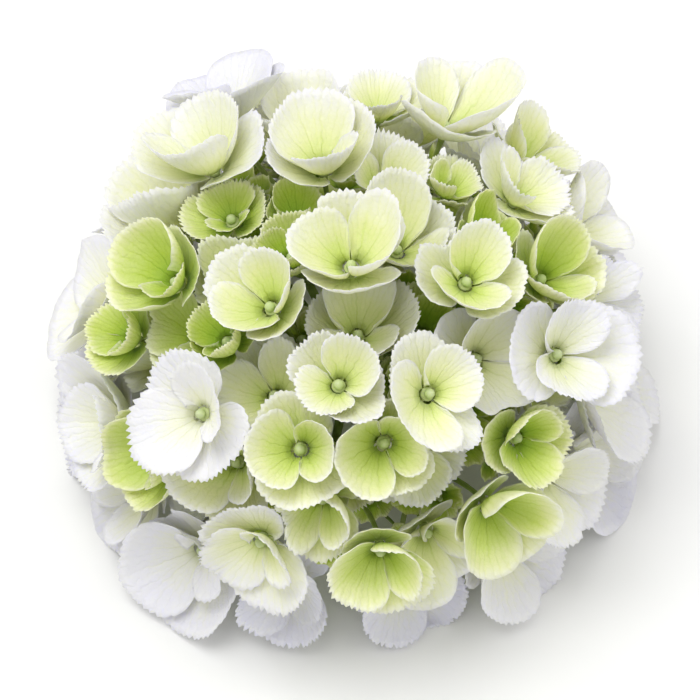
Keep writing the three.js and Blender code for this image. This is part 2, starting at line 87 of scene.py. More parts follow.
# Florets in the front view: lean, bearing, rise, span, turn, open, age, tip, toward
FRONT_FLORETS = [
    # crown
    (13, 270, 7, 34, 0, 0.5, 0.72, 8, 90),
    (12, 350, 4, 31, 30, 0.45, 0.74, 8, 70),
    (26, 274, 1, 32, 90, 0.5, 0.62, 20, 90),
    (36, 272, 6, 29, 45, 0.5, 0.6, 6, 90),
    (27, 230, 5, 31, 80, 0.5, 0.5, 14, 150),
    (28, 250, -4, 25, 40, 0.45, 0.25, 0, 0),
    (6, 95, 1, 27, 20, 0.5, 0.45, 0, 0),
    # left of the crown
    (18, 205, 0, 23, 60, 0.25, 0.25, 0, 0),
    (29, 198, 3, 27, 10, 0.35, 0.42, 0, 0),
    (12, 150, -1, 22, 35, 0.2, 0.15, 0, 0),
    (22, 168, -1, 22, 70, 0.35, 0.15, 0, 0),
    (31, 165, -1, 25, 20, 0.6, 0.2, 0, 0),
    (42, 158, -2, 22, 50, 0.3, 0.12, 0, 0),
    (38, 192, 2, 27, 0, 0.35, 0.3, 15, 180),
    (43, 205, 1, 28, 30, 0.5, 0.35, 0, 0),
    (41, 218, -2, 22, 0, 0.3, 0.15, 0, 0),
    (56, 200, 0, 27, 45, 0.45, 0.18, 0, 0),
    (53, 179, -2, 27, 20, 0.4, 0.22, 0, 0),
    (67, 186, -7, 33, 30, 0.45, 0.5, 0, 0),
    # left shoulder
    (39, 147, 4, 38, 10, 0.5, 0.85, 4, 130),
    (52, 158, 0, 40, 40, 0.35, 0.85, 0, 0),
    (57, 123, 4, 40, 20, 0.65, 1, 0, 0),
    (48, 108, 3, 32, 50, 0.45, 0.75, 0, 0),
    (22, 116, 2, 34, 90, 0.4, 0.7, 0, 0),
    # top and right shoulder
    (44, 81, -1, 28, 100, 0.6, 0.5, 0, 0),
    (17, 66, 2, 30, 30, 0.55, 0.5, 0, 0),
    (42, 57, 3, 37, 15, 0.45, 0.78, 0, 0),
    (62, 50, -3, 36, 40, 0.5, 0.88, 0, 0),
    (28, 41, 0, 27, 60, 0.45, 0.38, 0, 0),
    (56, 37, 1, 31, 10, 0.5, 0.45, 0, 0),
    (42, 20, 3, 31, 85, 0.55, 0.55, 0, 0),
    (31, 18, 0, 26, 30, 0.4, 0.35, 0, 0),
    (33, 353, 0, 25, 50, 0.25, 0.22, 0, 0),
    (46, 352, 2, 28, 20, 0.3, 0.35, 0, 0),
    (67, 76, -10, 37, 20, 0.6, 0.85, 0, 0),
    (68, 102, -8, 38, 60, 0.6, 0.9, 0, 0),
    # right side
    (27, 332, 3, 30, 15, 0.45, 0.5, 0, 0),
    (43, 319, 5, 36, 45, 0.55, 0.85, 14, 330),
    (53, 332, 7, 38, 35, 0.6, 0.88, 0, 0),
    (28, 308, -3, 24, 0, 0.25, 0.1, 0, 0),
    (42, 293, 7, 36, 25, 0.65, 0.82, 14, 0),
    (53, 308, -3, 24, 30, 0.3, 0.12, 0, 0),
    (63, 18, -4, 37, 30, 0.5, 0.9, 0, 0),
    (66, 359, -3, 38, 10, 0.6, 0.95, 0, 0),
    (84, 344, -7, 40, 40, 0.7, 1, 0, 0),
    (73, 336, -6, 38, 0, 0.5, 0.6, 0, 0),
    (65, 310, -3, 35, 60, 0.5, 0.3, 0, 0),
    (90, 321, -7, 42, 20, 0.6, 0.95, 0, 0),
    (78, 298, -3, 34, 40, 0.45, 0.4, 0, 0),
    # front
    (46, 284, 3, 29, 5, 0.4, 0.4, 12, 270),
    (56, 288, 2, 29, 85, 0.55, 0.5, 12, 285),
    (58, 272, -1, 28, 30, 0.45, 0.35, 0, 0),
    (73, 276, 3, 30, 15, 0.45, 0.42, 8, 255),
    (80, 288, -3, 31, 40, 0.55, 0.72, 6, 300),
    (104, 308, -4, 43, 30, 0.7, 1, 0, 0),
    (108, 283, -6, 35, 45, 0.7, 1, 0, 0),
    (45, 243, 4, 31, 50, 0.5, 0.58, 16, 90),
    (52, 231, 8, 40, 60, 0.8, 1, 12, 180),
    (48, 257, 4.5, 31, 20, 0.5, 0.4, 0, 0),
    (62, 241, 1, 34, 30, 0.5, 0.55, 0, 0),
    (67, 261, -1, 28, 10, 0.35, 0.45, 10, 270),
    (75, 251, 1, 38, 35, 0.75, 0.8, 10, 250),
    (104, 256, -5, 36, 20, 0.7, 1, 0, 0),
    # lower left
    (104, 233, -4, 42, 40, 0.65, 1, 0, 0),
    (94, 225, -7, 40, 20, 0.6, 0.95, 0, 0),
    (86, 203, -7, 39, 45, 0.55, 0.92, 0, 0),
    (90, 183, -8, 39, 15, 0.65, 1, 0, 0),
    (74, 216, -10, 28, 30, 0.3, 0.2, 0, 0),
]

# Florets that the front view hides: lean, first bearing, last bearing, count
HIDDEN_ROWS = [(75, 144, 171, 2), (84, 28, 128, 5), (107, -20, 208, 11)]
HIDDEN_FLORET = {"rise": -5, "span": 44, "open": 0.65, "age": 0.92}
HIDDEN_SPREAD = {"lean": 5, "rise": 4, "span": 5, "turn": 90, "open": 0.2, "age": 0.16}

# How far a solid floret may have sunk in or moved aside over the ball, and how small it may be
SUNK = [-2, 0, 2, 4, 6, 8, 10, 12, 14]
ASIDE = [-5, -2.5, 0, 2.5, 5]
SIZES = [1, 0.93, 0.86, 0.79, 0.72]
MATCH = 0.06  # a solid's corner is this near to where the formula puts it

FLORET_SEED = 7919
ROW_SEED = 31
LOOKS_SEED = 613
YOUNG_SEED = 104729

# Young florets deep inside, which show in the gaps: tries in a cyme, the most that it has of
# them, how deep under the ball they lie, and how far they stay from the others' sepals, in mm
YOUNG_TRIES = 340
YOUNG_MOST = 12
YOUNG_DEPTH = (8, 30)
YOUNG_SPAN = (12, 19)
YOUNG_ABOUT = 24  # degrees round the cyme's own way
YOUNG_POLE = 0.2  # least sine of a lean that a step in bearing is divided by
YOUNG_CLEAR = 1.1
YOUNG_APART = YOUNG_SPAN[1] * 0.8  # between two of them
YOUNG_OPEN = (0.45, 0.85)
YOUNG_AGE = 0.14
YOUNG_WITHIN = 0.95  # no rim corner lies further out than this share of the ball
YOUNG_ROOT = 4  # first points of a young floret's pedicel, which may pass near other parts
YOUNG_WIDTH = 0.6  # of its bud and pedicel, for a grown one's

# Sepals as they show
SHOWN_BLADE = 0.3
BLADE_THINS = 0.55  # share of its thickness that a blade loses at its rim
FINE = (60, 7)  # rays across a sepal and steps along it
COARSE = (12, 4)  # the same of the young florets deep inside
INNERMOST = 0.05  # share of the way out where the fan of rays starts
STEPS_POWER = 0.85  # below 1, so that the steps along a ray lie closer towards the rim

# The rim, in shares of a sepal's length and half breadth, and how it varies
RIM_SHAPE = [
    (0.06, 0.46), (0.2, 0.88), (0.44, 1.09), (0.68, 1.05), (0.87, 0.78), (0.99, 0.4), (1.03, 0.0),
]
RIM_PARTS = 16  # between two points of the shape
RIM_SKEW = 0.22  # how far a sepal's point may lie to one side, as a share of its half breadth
RIM_SLANT = 0.08  # how much longer one side may be than the other
TIP = 0.12  # how far a sepal's tip may stand out as a point or be dented, as a share of its length
TIP_WIDTH = 0.16
TIPS_DENTED = 0.35  # share of the sepals
TEETH_FROM = 0.3  # share of the way out where the teeth begin
TEETH_GROW = 0.3  # share over which they come to their full depth
TOOTH = 1.35
TOOTH_SHARES = (0.3, 0.9)  # of that depth: the least, and what chance adds
FLORET_TEETH = (0.6, 0.5)  # the same for all the teeth of a floret
SMOOTH_RIMS = 0.15  # share of the florets whose rims have hardly any teeth
SMOOTH_TOOTH = 0.12  # and what is left of their teeth

# Ruffles, in mm where nothing else is said
WAVES = (2, 3, 5)  # of each kind, in one turn round a floret
WAVE = 1.7
WAVE_LEAST = 0.35  # of a floret's waves, as a share of the most
WAVE_POWER = 2.4  # by which the waves grow towards the rim
CUP = 1.5  # how far the sides of the inner pair stand up from the outer pair
CUP_POWER = 1.5
ROLL = 1.6  # how far one side of an outer sepal may curl up
INNER_ROLL = 2.8  # the same of an inner one
RIPPLE = 0.16
RIPPLES = 9  # half waves from a sepal's middle to its side
RIPPLE_PHASE = 6
GROOVE = 0.25  # down a sepal's middle
GROOVE_WIDTH = 0.1  # as a share of the half breadth

# Where a sepal ends because it would come out through another floret's
TRIM_FROM = 0.7  # no nearer to the base than this share of the way out
TRIM_BACK = 0.1  # rows that it ends short of the other
TRIM_SPREAD = 4  # rays to each side that end early with it

# Tones, from 0 for green to 1 for white, by a floret's age
AGE_TONES = ((0, 0.55, 0.85, 1), (0.12, 0.66, 0.77, 0.94))  # ages, and how white they are
TONE_VARIES = 0.1
SEPAL_TONE_VARIES = 0.08
TONE_RISE = 0.62  # from base to rim
TONE_LEVEL = 0.62  # share of the way out where a sepal has its floret's own tone
RIPE = 0.6  # age from which the rise is less
RIPE_LOSS = 0.3
WHITE_RIM = 0.16  # of the youngest
WHITE_RIM_FROM = 0.82  # share of the way out
# The dark base is partly the sepals' real greener base and partly painted shade in each floret's bowl
THROAT = (0.12, 0.16)  # how far the dark base reaches: in the oldest, and what youth adds
DARK = (0.42, 0.25)  # how dark it is: in the youngest, and what age takes
TINT_FROM = 0.75  # age from which sepals turn lavender
TINT_GAIN = 4
TINT_POWER = 1.5  # above 1, so that few are strongly tinted
TINT_BASE = 0.4  # at a sepal's base, as a share of its rim's

# Buds and stalks as they show: radii and heights, from base to tip
SHOWN_BUD_RADIUS = 1.5
BUD_GRID = (16, 9)  # sides and rings
YOUNG_BUD_GRID = (8, 5)
BUD_SUNK = 0.1
BUD_KEEPS = 0.86  # share of a bud's width that stays when its floret is small
VALVES = 4
VALVE_GROOVE = 0.09
VALVE_POWER = 6
BUD_TIP = 0.12
BUD_TIP_POWER = 8
PEDICEL_RADII = np.array([0.8] * 8 + [0.72, 0.75, 0.95, 1.45])
PEDICEL_TOP = 0.6
PEDICEL_TONE = (0.35, 0.4)  # of the youngest, and what age adds
RECEPTACLE_HEIGHTS = (0.2, 0.8, 1.6, 2.15)
RECEPTACLE_RADII = np.array([1.3, 1.75, 2.0, 1.9])
RECEPTACLE_SIDES = 12
FORK_STEPS = (-BRANCHLET, -3, -1, 0.8)  # along the ray's way, from the fork
FORK_RADII = [1.5, 1.45, 1.6, 1.3]
FORK_TONE = 0.4
RAY_START = 3  # from the knot's middle
RAY_RADII = [1.7, 1.5, 1.42, 1.4, 1.42, 1.5]
RAY_GAP = 0.3  # from a ray's end to the branchlet's
RAY_TONE = 0.35
BRANCH_SIDES = 10
PEDUNCLE_HEIGHTS = [PEDUNCLE_CUT, PEDUNCLE_CUT + 0.6, 8, 13, 18.5, 21.8, 24, 26.2, 28.4, 29.4]
PEDUNCLE_RADII = [3.4, 3.6, 3.55, 3.5, 3.7, 5.3, 5.5, 5.3, 3.2, 0.8]
PEDUNCLE_SIDES = 24
PEDUNCLE_TONE = 0.3
NO_STALK_WAY = [0.31, 0.87, 0.38]  # that no stalk follows
STALK_UV = 10  # mm of a stalk for each unit of its UV

# Colours, and the places of their tones
SEPAL_TONES = [
    (0.0, "9dbe38"), (0.2, "bdd258"), (0.4, "d5e38c"), (0.6, "ebefba"), (0.8, "f5f6dc"), (1.0, "f3f2f2"),
]
LAVENDER = "dbdbf3"
LAVENDER_MOST = 0.5
# Greyish green mixed in at the sepals' base: partly their real greener base, partly painted shade in the
# bowl
GREEN_AND_SHADE_BASE = "9fb35c"
GREEN_AND_SHADE_MOST = 0.6
BUD_TONES = [(0.0, "a0b36a"), (0.45, "b6c689"), (1.0, "ccd6ab")]
BUD_SPOTS = 0.5
STALK_TONES = [(0.0, "5d5a2a"), (0.4, "7f9440"), (0.8, "a8b868"), (1.0, "c3cf90")]
STALK_SPOTS = 0.6
FLOOR = "fbfbfa"

# Veins: how many over a sepal's breadth, and how wide as a share of their spacing
MAIN_VEINS = (7.0, 0.10)
FINE_VEINS = (21.0, 0.22)
VEIN_WIGGLE = 0.05
MAIN_VEINS_FADE = 0.6  # towards the rim
FINE_VEINS_GROW = 0.7
VEIN_TONE = 0.11
VEIN_RELIEF = 1.2
NET_WIDTH = 0.12
NET_TONE = 0.035
PATCH_TONE = 0.22
PATCH_ROUGHNESS = 0.2
SEPAL_ROUGHNESS = 0.55

# Textures' scales, in cells or waves for each metre
NOISE_DETAIL = 1.0
WIGGLE_SCALE = 380.0
PATCH_SCALE = 120.0
GRAIN_SCALE = 900.0
NET_SCALE = 700.0
SPOT_SCALE = 300.0
STALK_GRAIN_SCALE = 1500.0
HALFWAY = 0.5  # the middle of a noise's values

# Light and camera, in metres and watts where nothing else is said
WORLD_LIGHT = 0.68
LAMPS = [("key", (-0.3, 0.05, 1.15), 0.7, 6.9), ("fill", (0.8, -0.1, 0.8), 0.9, 1.6)]
LAMP_AIM = (0, 0, 0.05)
FLOOR_SIZE = 6
CAMERA_ELEVATION = 60  # degrees
CAMERA_DISTANCE = 750  # mm
CAMERA_CLIPS = (0.01, 20)
SENSOR = 36  # mm
PIXEL = 0.3  # mm at the ball's middle
IMAGE = 700  # pixels across
MIDDLE_PIXEL = (351, 352)  # where the ball's middle shows


def seeded(seed):
    """A source of numbers from 0 to 1 that is the same as the one the solids were drawn with."""
    state = seed

    def following():
        nonlocal state
        state = state * 16807 % 2147483647
        return state / 2147483647

    following()
    following()
    return following


def unit(vector):
    """The vector at a length of 1."""
    return vector / np.linalg.norm(vector)


def bearing_vector(bearing):
    """The level way at a bearing, in degrees from the right and round by the back."""
    turn = math.radians(bearing)
    return np.array([math.cos(turn), math.sin(turn), 0.0])


def ball_point(lean, bearing):
    """The point of the ball at a lean and a bearing, from the ball's middle."""
    lean = math.radians(lean)
    way = bearing_vector(bearing) * math.sin(lean) + UP * math.cos(lean)
    across = math.hypot(way[0], way[1]) / BALL_RADIUS
    return way / math.hypot(across, way[2] / BALL_HEIGHT)


def turned(vector, axis, angle):
    """vector turned about a unit axis that may stand at any angle to it."""
    cos, sin = math.cos(angle), math.sin(angle)
    return vector * cos + np.cross(axis, vector) * sin + axis * axis.dot(vector) * (1 - cos)


class Sepal:
    """One sepal's curve: it starts at base_angle from flat and bends evenly to rim_angle."""

    def __init__(self, order, span, opened, random):
        def about(middle, width):
            return middle + width * (random() - 0.5)

        radius = span / 2 * about(1, SEPAL_VARIES)
        self.order = order
        self.inner = order % 2
        self.breadth = SEPAL_BREADTH * about(1, SEPAL_VARIES)
        lift = about(0, RIM_VARIES)
        base = BASE_SLOPE + BASE_OPENING * opened
        rim = RIM_SLOPE + RIM_OPENING * opened + lift
        self.base_angle = math.radians(base + STEEPER[order])
        self.rim_angle = math.radians(rim + STEEPER[order])
        turning = self.rim_angle - self.base_angle
        flatness = (math.sin(self.rim_angle) - math.sin(self.base_angle)) / turning
        self.length = (radius - RECEPTACLE_RADIUS) / flatness * LENGTHS[order]


class Floret:
    """A floret's place, its own axes, its sepals and its age."""

    def __init__(self, row, index):
        lean, bearing, rise, span, turn, opened, age, tip, toward = row
        point = ball_point(lean, bearing)
        self.lean, self.bearing, self.age, self.index = lean, bearing, age, index
        self.outward = unit(point / BALL_RADII**2)
        level = bearing_vector(bearing)
        grown = min(1, lean / RING_LEAN) ** 2
        share = CROWN_LEAN_OUT + (RING_LEAN_OUT - CROWN_LEAN_OUT) * grown
        slope = min(share * math.acos(self.outward[2]), math.radians(MOST_LEAN_OUT))
        axis = UP * math.cos(slope) + level * math.sin(slope)
        self.axis = turned(axis, np.cross(UP, bearing_vector(toward)), math.radians(tip))
        slope_way = unit(level - self.axis * level.dot(self.axis))
        self.along = turned(slope_way, self.axis, math.radians(turn))
        self.right = np.cross(UP, level)
        self.down = np.cross(self.right, self.outward)
        self.across = np.cross(self.axis, self.along)
        random = seeded((index + 1) * FLORET_SEED)
        self.sepals = [Sepal(order, span, opened, random) for order in range(4)]
        self.seat = point + UP * BALL_MIDDLE + self.outward * rise
        self.size = 1


def hidden_row(row, first_index):
    """The florets of one hidden row, each a little different."""
    lean, first, last, count = row
    random = seeded(lean * ROW_SEED)

    def spread(name, middle):
        return middle + HIDDEN_SPREAD[name] * (random() - 0.5)

    florets = []
    for place in range(count):
        bearing = first + (last - first) * place / (count - 1)
        values = (
            spread("lean", lean),
            bearing,
            spread("rise", HIDDEN_FLORET["rise"]),
            spread("span", HIDDEN_FLORET["span"]),
            spread("turn", 0),
            spread("open", HIDDEN_FLORET["open"]),
            spread("age", HIDDEN_FLORET["age"]),
            0,
            0,
        )
        florets.append(Floret(values, first_index + place))
    return florets


def bowl(floret, sepal, size, reach, breadthways):
    """Points of a sepal from its floret's seat, with their upward normals."""
    run = np.hypot(reach, breadthways)
    bend = (sepal.rim_angle - sepal.base_angle) / (sepal.length * size)
    angle = sepal.base_angle + bend * run
    radius = RECEPTACLE_RADIUS + (np.sin(angle) - math.sin(sepal.base_angle)) / bend
    storey = SEPAL_STEP * (0.5 + sepal.inner)
    height = storey + (math.cos(sepal.base_angle) - np.cos(angle)) / bend
    wrap = np.minimum(MOST_WRAP, (run + RECEPTACLE_RADIUS) / radius) ** WRAP_POWER
    turn = np.arctan2(breadthways, reach) * wrap + sepal.order * math.pi / 2
    spoke = np.cos(turn)[..., None] * floret.along + np.sin(turn)[..., None] * floret.across
    point = spoke * radius[..., None] + height[..., None] * floret.axis
    normal = np.cos(angle)[..., None] * floret.axis - spoke * np.sin(angle)[..., None]
    return point, normal


def solid_corners(floret, size):
    """Where the solid floret's upper rim corners and bud lie, from its seat."""
    corners = [floret.axis * (2 * SEPAL_STEP + BUD_LENGTH)]
    for sepal in floret.sepals:
        length = sepal.length * size
        reach = np.array([share * length for share, _ in OUTLINE])
        breadthways = np.array([share * sepal.breadth * length / 2 for _, share in OUTLINE])
        point, normal = bowl(floret, sepal, size, reach, breadthways)
        corners.extend(point + normal * BLADE / 2)
    return corners


def settle(floret, tree, shift):
    """Finds where and how small the solid floret settled, from its corners in the frame."""
    def matches(seat, corners):
        return sum(tree.find((seat + corner) * MM)[2] < MATCH * MM for corner in corners)

    shapes = {size: solid_corners(floret, size) for size in SIZES}
    seats = [
        floret.seat - floret.outward * sunk + floret.down * down + floret.right * right + shift
        for sunk in SUNK
        for down in ASIDE
        for right in ASIDE
    ]
    bud = shapes[1][:1]
    likely = [seat for seat in seats if matches(seat, bud)] or seats
    tries = [(matches(seat, shapes[size]), seat, size) for seat in likely for size in SIZES]
    _, floret.seat, floret.size = max(tries, key=lambda found: found[0])


def node_points(node):
    """The corners of a solid in the frame, in metres."""
    return [vertex.co for vertex in frame["nodes"][node].data.vertices]


def stem_shift():
    """How far the stem's middle lies from the origin: the middle of its cut end."""
    points = np.array(node_points("peduncle")) / MM
    lowest = points[points[:, 2] < PEDUNCLE_CUT + CUT_TOLERANCE]
    return (lowest.min(0) + lowest.max(0)) / 2 * np.array([1, 1, 0])


def make_cymes():
    """The cymes in their rings, with no florets yet."""
    cymes = []
    for lean, count, first in CYME_RINGS:
        for place in range(count):
            way = ball_point(lean, first + 360 * place / count)
            fork = way * CYME_DEPTH + UP * BALL_MIDDLE
            node = f"cyme_{len(cymes) + 1:02d}"
            cymes.append({"node": node, "way": way, "fork": fork, "florets": []})
    return cymes


def grow():
    """All florets at the places that the solids settled in, by cyme."""
    florets = [Floret(row, index) for index, row in enumerate(FRONT_FLORETS)]
    for row in HIDDEN_ROWS:
        florets += hidden_row(row, len(florets))
    cymes = make_cymes()
    for floret in florets:
        place = ball_point(floret.lean, floret.bearing)
        min(cymes, key=lambda cyme: np.linalg.norm(cyme["way"] - place))["florets"].append(floret)
    shift = stem_shift()
    for cyme in cymes:
        tree = point_tree(node_points(cyme["node"]))
        cyme["fork"] = cyme["fork"] + shift
        for floret in cyme["florets"]:
            settle(floret, tree, shift)
    return cymes, shift


def point_tree(points):
    """The points in a tree that finds the nearest of them."""
    tree = kdtree.KDTree(len(points))
    for number, point in enumerate(points):
        tree.insert(point, number)
    tree.balance()
    return tree


def young_floret(cyme, index, shift, random):
    """A small cupped floret at a random place under a cyme's outer ones."""
    def between(low, high):
        return low + (high - low) * random()

    way = unit(cyme["way"])
    lean = math.degrees(math.acos(way[2])) + between(-YOUNG_ABOUT, YOUNG_ABOUT)
    bearing = math.degrees(math.atan2(way[1], way[0]))
    from_pole = max(YOUNG_POLE, math.sin(math.radians(abs(lean))))
    bearing += between(-YOUNG_ABOUT, YOUNG_ABOUT) / from_pole
    depth, span = between(*YOUNG_DEPTH), between(*YOUNG_SPAN)
    turn, opened, age = 90 * random(), between(*YOUNG_OPEN), between(0, YOUNG_AGE)
    row = (abs(lean), bearing, -depth, span, turn, opened, age, 0, 0)
    floret = Floret(row, index)
    floret.seat = floret.seat + shift
    return floret


def deep_inside(corners, shift):
    """Whether a floret's corners lie within the ball and over the knot."""
    from_middle = (np.array(corners) - shift - UP * BALL_MIDDLE) / BALL_RADII
    within = np.linalg.norm(from_middle, axis=1).max() < YOUNG_WITHIN
    return within and min(corner[2] for corner in corners) > KNOT_HEIGHT


def add_young(cymes, shift, sepal_points):
    """Fills the hollows under the outer florets with young ones that touch nothing."""
    taken = [Vector(point) for point in sepal_points]
    tree = point_tree(taken)
    index = sum(len(cyme["florets"]) for cyme in cymes)
    fresh = []
    for number, cyme in enumerate(cymes):
        random = seeded((number + 1) * YOUNG_SEED)
        cyme["young"] = []
        for _ in range(YOUNG_TRIES):
            floret = young_floret(cyme, index, shift, random)
            corners = [floret.seat + corner for corner in solid_corners(floret, 1)]
            path = pedicel_path(floret, cyme["fork"])[YOUNG_ROOT:]
            spots = [Vector(spot) for spot in (*corners, *path)]
            clear = all(tree.find(spot)[2] > YOUNG_CLEAR for spot in spots)
            apart = all((spots[0] - other).length > YOUNG_APART for other in fresh)
            if clear and apart and deep_inside(corners, shift):
                cyme["young"].append(floret)
                fresh.append(spots[0])
                index += 1
            if len(cyme["young"]) == YOUNG_MOST:
                break


class Builder:
    """Collects one piece's vertices, faces, UVs and per-vertex values."""

    def __init__(self):
        self.points, self.faces, self.uvs, self.values = [], [], [], []
        self.count = 0

    def add(self, points, faces, uvs, values):
        """points: n by 3; uvs: n by 2; values: n by 3, tone, tint and shade."""
        self.points.append(points)
        self.faces.append(np.asarray(faces) + self.count)
        self.uvs.append(uvs)
        self.values.append(values)
        self.count += len(points)

    def piece(self, name, material):
        points = np.concatenate(self.points) * MM
        faces = [tuple(face) for block in self.faces for face in block.tolist()]
        mesh = bpy.data.meshes.new(name)
        mesh.from_pydata(points.tolist(), [], faces)
        uvs = np.concatenate(self.uvs)
        corners = np.empty(len(mesh.loops), dtype=np.int32)
        mesh.loops.foreach_get("vertex_index", corners)
        layer = mesh.uv_layers.new(name="UVMap")
        layer.data.foreach_set("uv", uvs[corners].astype(np.float32).ravel())
        values = np.concatenate(self.values).astype(np.float32)
        for column, title in enumerate(("tone", "tint", "shade")):
            attribute = mesh.attributes.new(title, "FLOAT", "POINT")
            attribute.data.foreach_set("value", values[:, column].copy())
        mesh.polygons.foreach_set("use_smooth", [True] * len(mesh.polygons))
        mesh.materials.append(material)
        mesh.update()
        obj = bpy.data.objects.new(name, mesh)
        bpy.context.scene.collection.objects.link(obj)
        return obj


def grid_faces(rows, columns, closed=False):
    """Quads of a grid of points stored row by row."""
    row, column = np.meshgrid(np.arange(rows - 1), np.arange(columns - (not closed)), indexing="ij")
    following = (column + 1) % columns
    corner = [row * columns + column, row * columns + following]
    corner += [(row + 1) * columns + following, (row + 1) * columns + column]
    return np.stack(corner, axis=-1).reshape(-1, 4)


def smooth_line(points, count):
    """count points spaced evenly along a smooth line through the given ones."""
    points = np.array(points, dtype=float)
    ends = [2 * points[0] - points[1], *points, 2 * points[-1] - points[-2]]
    fine = []
    for a, b, c, d in zip(ends, ends[1:], ends[2:], ends[3:]):
        for t in np.linspace(0, 1, RIM_PARTS, endpoint=False):
            even = 2 * b + (c - a) * t + (2 * a - 5 * b + 4 * c - d) * t**2
            fine.append((even + (3 * b - a - 3 * c + d) * t**3) / 2)
    fine = np.array([*fine, points[-1]])
    run = np.concatenate([[0], np.cumsum(np.linalg.norm(np.diff(fine, axis=0), axis=1))])
    at = np.linspace(0, run[-1], count)
    return np.stack([np.interp(at, run, fine[:, axis]) for axis in range(2)], axis=1)


def rim_line(random, teeth, rays):
    """A sepal's rim as shares of its length and half breadth, with its teeth."""
    left = [(x, -y) for x, y in RIM_SHAPE]
    whole = left + [(x, y) for x, y in reversed(RIM_SHAPE[:-1])]
    rim = smooth_line(whole, rays + 1)
    rim[:, 1] += RIM_SKEW * (random() - 0.5) * rim[:, 0] ** 2
    rim[:, 0] += RIM_SLANT * (random() - 0.5) * rim[:, 1] * rim[:, 0]
    tip = np.exp(-np.abs(np.linspace(-1, 1, rays + 1)) / TIP_WIDTH)
    rim *= 1 + TIP * (random() - TIPS_DENTED) * tip[:, None]
    deep = np.clip((rim[:, 0] - TEETH_FROM) / TEETH_GROW, 0, 1)
    least, more = TOOTH_SHARES
    for ray in range(1, rays):
        cut = teeth * deep[ray] * (least + more * random()) * (ray % 2)
        rim[ray] *= 1 - cut
    return rim


def shape_sepal(floret, sepal, random, looks, fineness):
    """One sepal's middle surface, as a fan of rays from its base, and its values."""
    length = sepal.length * floret.size
    rays, steps = fineness
    rim = rim_line(random, looks["teeth"] / length, rays)
    share = np.linspace(INNERMOST, 1, steps + 1) ** STEPS_POWER
    reach = share[:, None] * rim[None, :, 0] * length
    breadthways = share[:, None] * rim[None, :, 1] * sepal.breadth * length / 2
    point, normal = bowl(floret, sepal, floret.size, reach, breadthways)
    point = ruffle(point, normal, share, (reach, breadthways), sepal, random, looks)
    point += floret.seat
    lowest = BLADE / 2 + sepal.inner * SEPAL_STEP
    low = point[..., 2] < lowest
    point[..., 2] = np.maximum(point[..., 2], lowest)
    normal[low] = UP
    values = sepal_values(share, rim, sepal, looks, random)
    return {"point": point, "normal": normal, "share": share, "values": values}


def add_blade(builder, shape):
    """A sepal's middle surface as a thin closed blade."""
    share, point, normal, values = (shape[key] for key in ("share", "point", "normal", "values"))
    half = SHOWN_BLADE / 2 * (1 - BLADE_THINS * share[:, None, None] ** 3)
    rows, columns = point.shape[:2]
    faces = grid_faces(rows, columns)
    top = (point + normal * half).reshape(-1, 3)
    bottom = (point - normal * half).reshape(-1, 3)
    uvs = np.stack(np.meshgrid(np.linspace(0, 1, columns), share), axis=-1).reshape(-1, 2)
    builder.add(top, faces[:, ::-1], uvs, values)
    builder.add(bottom, faces, uvs, values)
    builder.faces.append(blade_edge(rows, columns) + builder.count - 2 * rows * columns)


def floret_tree(floret):
    """A floret's sepals as a tree that rays can be cast at."""
    points, faces, count = [], [], 0
    for shape in floret.shapes:
        rows, columns = shape["point"].shape[:2]
        points.extend(shape["point"].reshape(-1, 3).tolist())
        faces.extend((grid_faces(rows, columns) + count).tolist())
        count += rows * columns
    return BVHTree.FromPolygons(points, faces)


def trim(florets):
    """Ends the rays of each sepal where they would come out through another floret's sepal."""
    trees = [floret_tree(floret) for floret in florets]
    reaches = [
        max(np.linalg.norm(shape["point"] - floret.seat, axis=-1).max() for shape in floret.shapes)
        for floret in florets
    ]
    trimmed = []
    for floret, reach in zip(florets, reaches):
        near = [
            tree
            for other, tree, other_reach in zip(florets, trees, reaches)
            if other is not floret
            and np.linalg.norm(other.seat - floret.seat) < reach + other_reach
        ]
        trimmed.append([trimmed_sepal(shape, near) for shape in floret.shapes])
    for floret, shapes in zip(florets, trimmed):
        floret.shapes = shapes


def trimmed_sepal(shape, near):
    """A sepal's shape with its rays ended before the sepals of the trees near it."""
    first = int(np.searchsorted(shape["share"], TRIM_FROM)) - 1
    grids = {key: shape[key].copy() for key in ("point", "normal")}
    last = len(shape["share"]) - 1
    columns = range(shape["point"].shape[1])
    reached = smooth_below([free_run(shape["point"][:, column], first, near) for column in columns])
    for column in columns:
        rows = np.linspace(0, reached[column], last + 1)
        for grid in grids.values():
            line = grid[:, column].copy()
            for axis in range(3):
                grid[:, column, axis] = np.interp(rows, range(last + 1), line[:, axis])
    return {**shape, **grids}


def smooth_below(values):
    """The values made smooth along their row, nowhere higher than they were."""
    width = 2 * TRIM_SPREAD + 1
    padded = np.pad(values, TRIM_SPREAD, mode="edge")
    low = np.lib.stride_tricks.sliding_window_view(padded, width).min(axis=1)
    padded = np.pad(low, TRIM_SPREAD, mode="edge")
    return np.lib.stride_tricks.sliding_window_view(padded, width).mean(axis=1)


def free_run(line, first, near):
    """The row, from first on, up to which a line of points meets none of the trees."""
    for row in range(first, len(line) - 1):
        step = Vector(line[row + 1] - line[row])
        start = Vector(line[row])
        hits = [tree.ray_cast(start, step, step.length)[3] for tree in near]
        runs = [run for run in hits if run is not None]
        if runs:
            return max(row + min(runs) / step.length - TRIM_BACK, first)
    return len(line) - 1


def blade_edge(rows, columns):
    """Quads that close the edge between a blade's two faces, which follow one another."""
    loop = list(range(columns))
    loop += [row * columns + columns - 1 for row in range(1, rows)]
    loop += [(rows - 1) * columns + column for column in range(columns - 2, -1, -1)]
    loop += [row * columns for row in range(rows - 2, 0, -1)]
    other = rows * columns
    following = loop[1:] + loop[:1]
    return np.array([(a, b, b + other, a + other) for a, b in zip(loop, following)])


